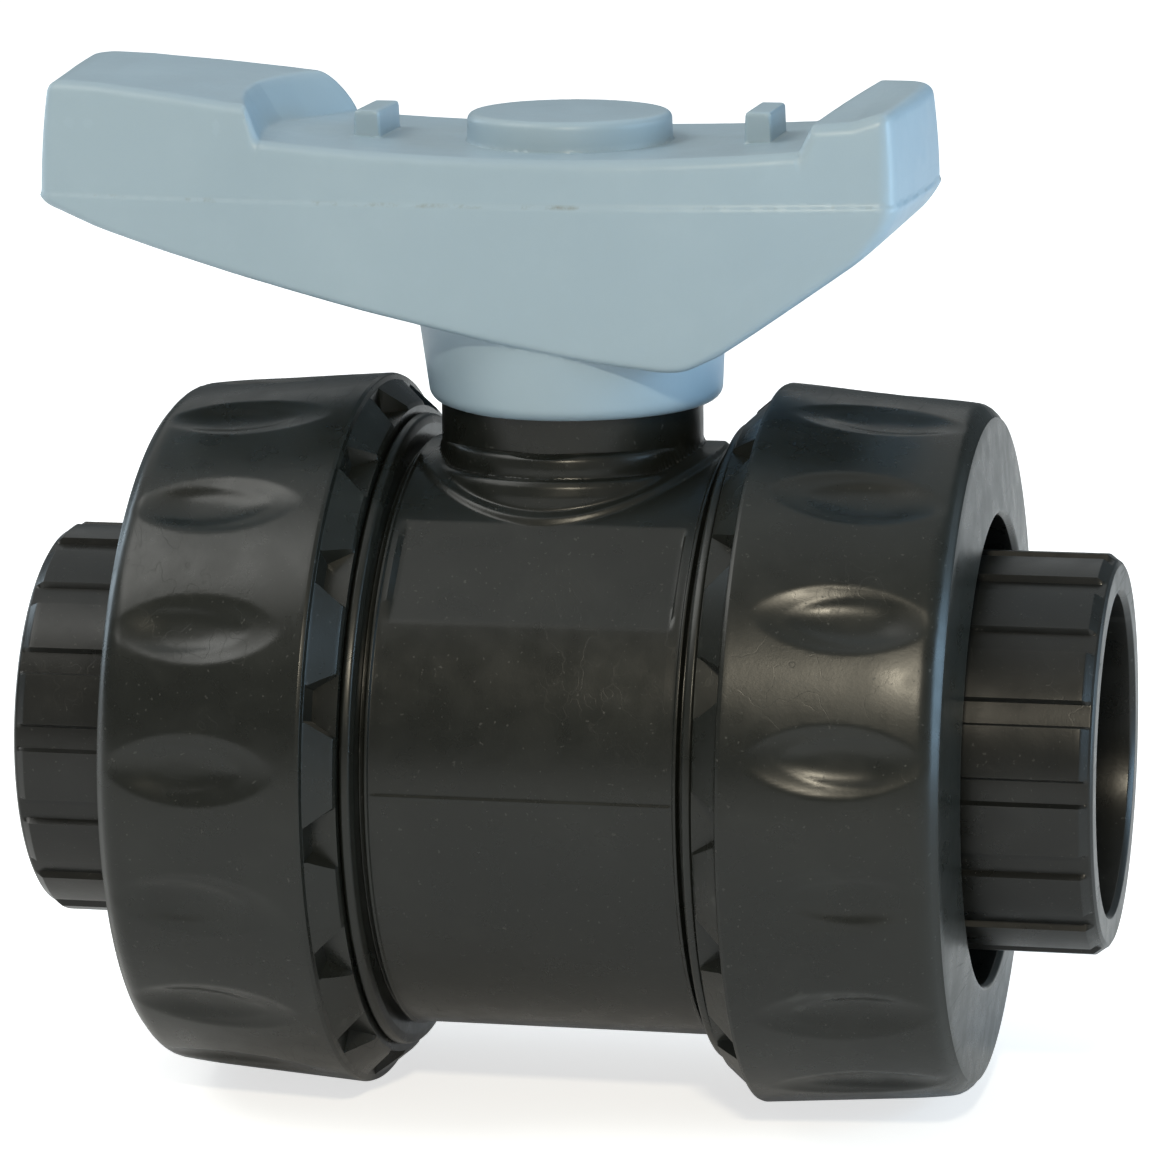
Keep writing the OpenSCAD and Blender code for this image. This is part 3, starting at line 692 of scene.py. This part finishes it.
def handle_field():
    """Field over x, y, z that is negative inside the handle."""
    plan_x, plan_y = [np.arange(low, high + TABLE_STEP, TABLE_STEP)
                      for low, high in (TABLE_X, TABLE_Y)]
    plan = plan_x[:, None], plan_y[None, :]
    outline = PlanTable(polygon_distance(*plan, handle_outline()))
    top = PlanTable(wing_top(*plan))
    along, across = np.gradient(top.values, TABLE_STEP)
    top_slope = PlanTable(np.sqrt(1 + along ** 2 + across ** 2))
    # underside, smoothed along x
    under_x = np.arange(TABLE_X[0], TABLE_X[1] + 0.01, TABLE_STEP)
    kernel = np.exp(-(np.arange(-25, 26) / 9.0) ** 2)
    kernel /= kernel.sum()
    under_z = np.pad(np.interp(under_x, *UNDERSIDE.T), 25, mode="edge")
    under_z = np.convolve(under_z, kernel, "valid")
    under_slope = np.gradient(under_z, under_x)

    def field(x, y, z):
        # the sides lean in a little above and below the mould line, with a step at it
        up = z - MOULD_Z
        lean = np.where(z > MOULD_Z, 0.006 * up ** 2 + 0.02 * up, 0.0007 * (MOULD_Z - z) ** 2)
        step = 0.15 * np.tanh((up - MOULD_SLOPE * (x + MOULD_X)) / 0.14) + 0.15
        sides = outline(x, y) + lean + step
        above = (z - top(x, y)) / top_slope(x, y)
        below = ((np.interp(x, under_x, under_z) - z)
                 / np.sqrt(1 + np.interp(x, under_x, under_slope) ** 2))
        low_edge = 0.9 + 1.3 * smoothstep(30.5, 34.5, x) + 0.4 * smoothstep(-46.0, -51.0, x)
        solid = smooth_max(round_max(1.25, sides, above), round_max(low_edge, sides, below), 0.3)
        # hub, cut back towards its foot on the left
        rho = np.sqrt(x * x + y * y)
        hub_r = (15.15 + 0.045 * (z - HUB_Z)
                 - 0.09 * np.clip(45.0 - z, 0, 11) * smoothstep(-2.0, -13.0, x))
        hub = round_max(1.3, (rho - hub_r) + 0.35 * np.clip(z - 43.0, 0, 9), HUB_Z - z, z - 50.0)
        solid = smooth_min(solid, hub, 0.14)
        # round cap on the deck, with a lug to its left and right
        rise = z - DECK
        cap = round_max(0.75, rho - 10.3 + 0.02 * rise, rise - 3.05, -2 - rise)
        solid = smooth_min(solid, cap, 0.3)
        for side in (-1, 1):
            lug = round_max(0.35, np.abs(x - side * 19.85) - 1.4 + 0.03 * rise,
                            np.abs(y) - 4.4 + 0.03 * rise, rise - (3.5 + 0.2 * side), -2 - rise)
            solid = smooth_min(solid, lug, 0.22)
        return smooth_max(solid, -handle_openings(x, y, z, rho), 0.2)

    return field


def build_handle():
    cell = 0.34
    # a margin round the handle, off round numbers so that flat faces miss the grid
    low = np.array([handle_low[0] - 2.0, handle_low[1] - 1.0, handle_low[2] - 1.0]) + 0.013
    shape = tuple(int(math.ceil((end + 1.0 - start) / cell)) + 2
                  for start, end in zip(low, handle_high))
    return surface_net("handle_grip", handle_field(), low, cell, shape)


# ------------------------------------------------------------------ shader graphs
class Graph:
    """Short calls for making and linking the nodes of one tree."""

    def __init__(self, tree):
        self.tree = tree
        tree.nodes.clear()

    def feed(self, socket, value):
        """Links a socket, or sets a value; colours are given without alpha."""
        if isinstance(value, bpy.types.NodeSocket):
            self.tree.links.new(value, socket)
        else:
            socket.default_value = (*value, 1.0) if socket.type == "RGBA" else value

    def node(self, kind, inputs=()):
        node = self.tree.nodes.new("ShaderNode" + kind)
        for key, value in dict(inputs).items():
            self.feed(node.inputs[key], value)
        return node

    def remap(self, value, low, high, to_low=0.0, to_high=1.0, smooth=False):
        node = self.node("MapRange", {"Value": value, "From Min": low, "From Max": high,
                                      "To Min": to_low, "To Max": to_high})
        if smooth:
            node.interpolation_type = "SMOOTHSTEP"
        return node.outputs["Result"]

    def math(self, operation, *values):
        node = self.node("Math", enumerate(values))
        node.operation = operation
        return node.outputs["Value"]

    def add(self, a, b):
        return self.math("ADD", a, b)

    def times(self, a, b):
        return self.math("MULTIPLY", a, b)

    def mix(self, amount, a, b):
        node = self.node("Mix")
        node.data_type = "RGBA"
        for index, value in ((0, amount), (6, a), (7, b)):
            self.feed(node.inputs[index], value)
        return node.outputs[2]


class MaterialGraph(Graph):
    """A new material with a principled shader and object coordinates."""

    def __init__(self, name):
        self.material = bpy.data.materials.new(name)
        self.material.use_nodes = True
        super().__init__(self.material.node_tree)
        self.surface = self.node("OutputMaterial").inputs["Surface"]
        self.shader = self.node("BsdfPrincipled")
        self.feed(self.surface, self.shader.outputs["BSDF"])
        self.coord = self.node("TexCoord").outputs["Object"]

    def noise(self, scale, detail, rough=0.55, distortion=0.0, vector=None):
        return self.node("TexNoise", {
            "Scale": scale, "Detail": detail, "Roughness": rough, "Distortion": distortion,
            "Vector": vector or self.coord}).outputs["Fac"]

    def bump(self, height, depth, strength, below=None):
        """depth in mm; below is the bump that this one lies on."""
        node = self.node("Bump", {"Distance": depth * MM, "Strength": strength, "Height": height})
        if below is not None:
            self.feed(node.inputs["Normal"], below)
        return node.outputs["Normal"]

    def scratches(self, width, rotation, shift):
        """Hair scratches: long stretched noise cut at a narrow level, in patches."""
        fine = 260 + shift
        vector = self.node("Mapping", {"Scale": (fine, 16, fine), "Rotation": rotation,
                                       "Vector": self.coord}).outputs["Vector"]
        level = self.noise(scale=1.0, detail=2.0, rough=0.5, vector=vector)
        line = self.math("ABSOLUTE", self.math("SUBTRACT", level, 0.5))
        line = self.remap(line, low=0.0, high=width, to_low=1.0, to_high=0.0)
        patches = self.noise(scale=45.0 + shift, detail=2.0)
        return self.times(line, self.remap(patches, low=0.52, high=0.66, smooth=True))

    def seam_grime(self, colour):
        """Grime caught in patches along the handle's mould line."""
        place = self.node("TexCoord").outputs["Object"]
        x, _, z = self.node("SeparateXYZ", {0: place}).outputs
        slope = self.times(self.add(x, MOULD_X * MM), MOULD_SLOPE)
        off = self.math("ABSOLUTE", self.math("SUBTRACT", z, self.add(MOULD_Z * MM, slope)))
        band = self.remap(off, low=0.00004, high=0.00030, to_low=1.0, to_high=0.0)
        spots = self.noise(scale=170.0, detail=5.0, rough=0.75)
        spots = self.remap(spots, low=0.52, high=0.69, to_high=0.66)
        return self.mix(self.times(band, spots), colour, (0.18, 0.17, 0.115))


def plastic(name, base, light, dark, rough, grain, edge, scratch, dirt, dirt_amount,
            specular=0.5, subsurface=0.0, seam=False):
    """Moulded plastic.

    base, light and dark are its colours; rough is (low, high); grain is the fine bump's depth
    in mm; edge and scratch are amounts of wear; dirt is the colour that lies in the nooks.
    """
    g = MaterialGraph(name)
    # clouds of the dark colour, blots of the light one
    cloud = g.noise(scale=38.0, detail=5.0, rough=0.6)
    blots = g.noise(scale=150.0, detail=4.0, rough=0.62, distortion=0.4)
    colour = g.mix(g.remap(cloud, low=0.34, high=0.68, smooth=True), dark, base)
    colour = g.mix(g.remap(blots, low=0.52, high=0.78, to_high=0.55), colour, light)
    # pale worn edges
    pointed = g.node("NewGeometry").outputs["Pointiness"]
    patches = g.noise(scale=420.0, detail=3.0, rough=0.6)
    worn = g.times(g.remap(pointed, low=0.515, high=0.60, smooth=True),
                   g.remap(patches, low=0.35, high=0.65, to_low=0.25))
    pale = tuple(min(1.0, c * 1.6 + 0.01) for c in light)
    colour = g.mix(g.times(worn, edge), colour, pale)
    # dirt in the nooks
    nooks = g.remap(pointed, low=0.40, high=0.488, to_low=1.0, to_high=0.0, smooth=True)
    patches = g.noise(scale=240.0, detail=4.0, rough=0.65)
    nooks = g.times(nooks, g.remap(patches, low=0.36, high=0.62, to_low=0.2))
    colour = g.mix(g.times(nooks, dirt_amount), colour, dirt)
    if seam:
        colour = g.seam_grime(colour)
    # two sets of scratches
    first = g.scratches(width=0.010, rotation=(0.3, 0.2, 1.1), shift=0)
    second = g.scratches(width=0.008, rotation=(1.2, 0.5, -0.5), shift=37)
    lines = g.times(g.math("MAXIMUM", first, second), scratch)
    colour = g.mix(g.times(lines, 0.35), colour, light)
    # roughness: clouds, a finer ripple, scratches and dust
    fine = g.noise(scale=2600, detail=3.0, rough=0.6)
    ripple = g.noise(scale=320.0, detail=3.0, rough=0.5)
    dust = g.noise(scale=2300.0, detail=1.0, rough=0.5)
    dust = g.remap(dust, low=0.70, high=0.78, smooth=True)
    roughness = g.remap(cloud, low=0.3, high=0.7, to_low=rough[0], to_high=rough[1])
    swing = g.remap(ripple, low=0.35, high=0.65, to_low=-1.0)
    for part, amount in ((swing, 0.035), (lines, 0.18), (dust, 0.12)):
        roughness = g.add(roughness, g.times(part, amount))
    colour = g.mix(g.times(dust, 0.06), colour, (0.45, 0.45, 0.42))
    # relief: grain, ripple, slow waves, cut scratches
    relief = g.bump(fine, depth=grain, strength=1.0)
    relief = g.bump(ripple, depth=grain * 3.2, strength=0.55, below=relief)
    waves = g.noise(scale=70.0, detail=1.0, rough=0.4)
    relief = g.bump(waves, depth=grain * 4.0, strength=0.20, below=relief)
    cuts = g.math("SUBTRACT", 0.0, lines)
    relief = g.bump(cuts, depth=grain * 1.4, strength=0.8, below=relief)
    settings = {"Base Color": colour, "Roughness": roughness, "Normal": relief,
                "Specular IOR Level": specular, "IOR": 1.50}
    if subsurface:
        settings |= {"Subsurface Weight": subsurface, "Subsurface Radius": (0.8, 1.0, 1.2),
                     "Subsurface Scale": 0.0015}
    for key, value in settings.items():
        g.feed(g.shader.inputs[key], value)
    return g.material


# ------------------------------------------------------------------ materials
GREY = dict(base=(0.0122, 0.0136, 0.0114), light=(0.0175, 0.0192, 0.0165),
            dark=(0.0092, 0.0104, 0.0086), specular=0.41, dirt_amount=0.5)
GREY_END = dict(GREY, base=(0.0115, 0.0121, 0.0110), light=(0.017, 0.0177, 0.0163),
                dark=(0.0085, 0.0091, 0.0081))

body_grey = plastic("grey_pvc", **GREY, rough=(0.28, 0.33), grain=0.007, edge=0.42,
                    scratch=0.55, dirt=(0.020, 0.020, 0.020))
nut_grey = plastic("grey_pvc_nut", **GREY, rough=(0.27, 0.32), grain=0.006, edge=0.5,
                   scratch=0.6, dirt=(0.018, 0.018, 0.018))
end_grey = plastic("grey_pvc_end", **GREY_END, rough=(0.28, 0.34), grain=0.007, edge=0.45,
                   scratch=0.6, dirt=(0.020, 0.020, 0.020))
handle_blue = plastic(
    "blue_grip", base=(0.345, 0.455, 0.535), light=(0.362, 0.473, 0.553),
    dark=(0.330, 0.438, 0.518), rough=(0.34, 0.42), grain=0.005, edge=0.07, scratch=0.35,
    dirt=(0.16, 0.20, 0.225), dirt_amount=0.35, seam=True)
ball_grey = plastic(
    "ball_grey", base=(0.060, 0.061, 0.063), light=(0.078, 0.079, 0.081),
    dark=(0.052, 0.053, 0.055), rough=(0.18, 0.27), grain=0.003, edge=0.2, scratch=0.5,
    dirt=(0.03, 0.03, 0.03), dirt_amount=0.2)
seat_white = plastic(
    "seat_white", base=(0.78, 0.77, 0.74), light=(0.84, 0.83, 0.80), dark=(0.70, 0.69, 0.66),
    rough=(0.38, 0.52), grain=0.006, edge=0.1, scratch=0.5, dirt=(0.45, 0.44, 0.42),
    dirt_amount=0.3, subsurface=0.15)
seal_black = plastic(
    "seal_black", base=(0.014, 0.014, 0.015), light=(0.024, 0.024, 0.025),
    dark=(0.010, 0.010, 0.011), rough=(0.42, 0.62), grain=0.010, edge=0.3, scratch=0.2,
    dirt=(0.05, 0.05, 0.05), dirt_amount=0.25)


# ------------------------------------------------------------------ assembly
def dress(ob, material):
    ob.data.materials.clear()
    ob.data.materials.append(material)
    for polygon in ob.data.polygons:
        polygon.material_index = 0


replaced = set()


def add_shell(ob, body, node, material, sharp_angle=32):
    """Puts a shell in a CAD piece's place; edges steeper than sharp_angle stay crisp."""
    dress(ob, material)
    ob.data.set_sharp_from_angle(angle=math.radians(sharp_angle))
    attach(ob, body)
    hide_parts(node)
    replaced.add(node)


# hand, side, degrees turned
NUT_TURNS = [("left", -1, 5.0), ("right", 1, 10.3)]
CONNECTOR_TURNS = [("left", -1, 6.0), ("right", 1, 1.3)]

add_shell(build_body(), "body", "valve_body", body_grey)
for hand, side, turn in NUT_TURNS:
    add_shell(build_nut(f"nut_{hand}_shell", side, turn), f"nut_{hand}", f"union_nut_{hand}",
              nut_grey)
for hand, side, turn in CONNECTOR_TURNS:
    add_shell(build_connector(f"connector_{hand}_shell", side, turn), f"connector_{hand}",
              f"end_connector_{hand}", end_grey)
add_shell(build_handle(), "handle", "handle", handle_blue, sharp_angle=40)

# the other CAD pieces keep their meshes; those not named here are seals
INNER_MATERIALS = {"ball": ball_grey, "stem": end_grey, "seat_carrier": end_grey,
                   "stem_thrust_washer": seat_white, "seat_left": seat_white,
                   "seat_right": seat_white}
for name, ob in NODES.items():
    if name not in replaced:
        dress(ob, INNER_MATERIALS.get(name, seal_black))


# ------------------------------------------------------------------ floor
def floor_material():
    """Pale matt floor that glows, more brightly to the camera than to the valve."""
    g = MaterialGraph("pale_floor")
    clouds = g.remap(g.noise(scale=6.0, detail=3.0), low=0.3, high=0.7)
    g.feed(g.shader.inputs["Base Color"], g.mix(clouds, (0.86, 0.86, 0.86), (0.90, 0.90, 0.90)))
    patches = g.noise(scale=30.0, detail=3.0)
    g.feed(g.shader.inputs["Roughness"],
           g.remap(patches, low=0.3, high=0.7, to_low=0.75, to_high=0.9))
    camera_ray = g.node("LightPath").outputs["Is Camera Ray"]
    strength = g.remap(camera_ray, low=0.0, high=1.0, to_low=0.16, to_high=0.68)
    glow = g.node("Emission", {"Strength": strength})
    both = g.node("AddShader", {0: g.shader.outputs["BSDF"], 1: glow.outputs["Emission"]})
    g.feed(g.surface, both.outputs[0])
    return g.material


floor_z = min(float(nut_left_low[2]), float(nut_low[2])) - 0.05   # just under the nuts, mm
bpy.ops.mesh.primitive_plane_add(size=6.0, location=(0, 0, floor_z * MM))
floor = bpy.context.object
floor.name = "floor"
floor.data.materials.append(floor_material())

# ------------------------------------------------------------------ world
# room brightness: from the front and the back, and what the top and the right add
ROOM_FRONT, ROOM_BACK, ROOM_TOP, ROOM_RIGHT = 0.235, 0.13, 0.22, 0.15


def build_world():
    """White to the camera; to everything else a dim room, bluer at the back."""
    world = bpy.data.worlds.new("studio")
    bpy.context.scene.world = world
    world.use_nodes = True
    g = Graph(world.node_tree)
    output = g.node("OutputWorld")
    seen = g.node("Background", {"Color": (1.0, 1.0, 1.0), "Strength": 1.0})
    room = g.node("Background")
    x, y, z = g.node("SeparateXYZ", {0: g.node("TexCoord").outputs["Generated"]}).outputs
    level = g.add(g.remap(y, low=-0.5, high=0.4, to_low=ROOM_FRONT, to_high=ROOM_BACK,
                          smooth=True),
                  g.remap(z, low=0.70, high=0.97, to_high=ROOM_TOP, smooth=True))
    level = g.add(level, g.remap(x, low=0.25, high=0.95, to_high=ROOM_RIGHT, smooth=True))
    g.feed(room.inputs["Strength"], level)
    backwards = g.remap(y, low=-0.5, high=0.3, smooth=True)
    g.feed(room.inputs["Color"], g.mix(backwards, (1.0, 1.0, 0.95), (0.78, 0.92, 1.0)))
    camera_ray = g.node("LightPath").outputs["Is Camera Ray"]
    choice = g.node("MixShader", {0: camera_ray, 1: room.outputs[0], 2: seen.outputs[0]})
    g.feed(output.inputs["Surface"], choice.outputs[0])


build_world()

# ------------------------------------------------------------------ lights
# name, place, aim, width, height, watts, colour
LIGHTS = [
    ("flash", (0.13, -0.66, 0.44), (0, 0, 0.01), 0.07, 0.05, 2.05, (1.0, 0.90, 0.70)),
    ("ceiling", (-0.60, -0.30, 0.80), (0, 0, 0.0), 0.6, 0.5, 3.1, (1.0, 1.0, 0.96)),
    ("sky", (-0.40, 0.45, 1.15), (0, 0, 0.02), 2.6, 2.2, 8.0, (0.98, 1.0, 0.98)),
    ("window", (0.85, 0.00, 0.16), (0.02, 0, 0.03), 0.40, 0.42, 3.9, (0.48, 0.75, 1.0)),
    ("window_back", (0.80, 0.45, 0.20), (0.05, 0, 0.02), 0.30, 0.5, 0.9, (0.66, 0.85, 1.0)),
    ("window_left", (-0.85, 0.45, 0.20), (-0.05, 0, 0.0), 0.2, 0.5, 1.4, (0.72, 0.88, 1.0))]

for name, place, aim, width, height, watts, colour in LIGHTS:
    light = bpy.data.lights.new(name, "AREA")
    light.shape = "RECTANGLE"
    light.size, light.size_y = width, height
    light.energy = watts
    light.color = colour
    ob = bpy.data.objects.new(name, light)
    bpy.context.scene.collection.objects.link(ob)
    ob.location = place
    ob.rotation_euler = (Vector(aim) - Vector(place)).to_track_quat("-Z", "Y").to_euler()

# ------------------------------------------------------------------ camera
CAMERA_PLACE = (0.12354, -0.57507, 0.13503)
YAW = math.radians(12.05)                        # turned left from looking along +Y
DIP = math.radians(11.46)                        # tilted down
ROLL = math.radians(-0.56)

forward = Vector((-math.sin(YAW) * math.cos(DIP), math.cos(YAW) * math.cos(DIP), -math.sin(DIP)))
level_right = Vector((math.cos(YAW), math.sin(YAW), 0))
level_up = level_right.cross(forward)
right = level_right * math.cos(ROLL) + level_up * math.sin(ROLL)
up = -level_right * math.sin(ROLL) + level_up * math.cos(ROLL)

camera = bpy.data.cameras.new("camera")
camera.lens, camera.sensor_width = 182.9, 36.0   # mm
camera.clip_start, camera.clip_end = 0.05, 20.0
camera_ob = bpy.data.objects.new("camera", camera)
bpy.context.scene.collection.objects.link(camera_ob)
pose = Matrix((right, up, -forward)).transposed().to_4x4()
pose.translation = Vector(CAMERA_PLACE)
camera_ob.matrix_world = pose
bpy.context.scene.camera = camera_ob
bpy.context.scene.view_settings.view_transform = "Standard"
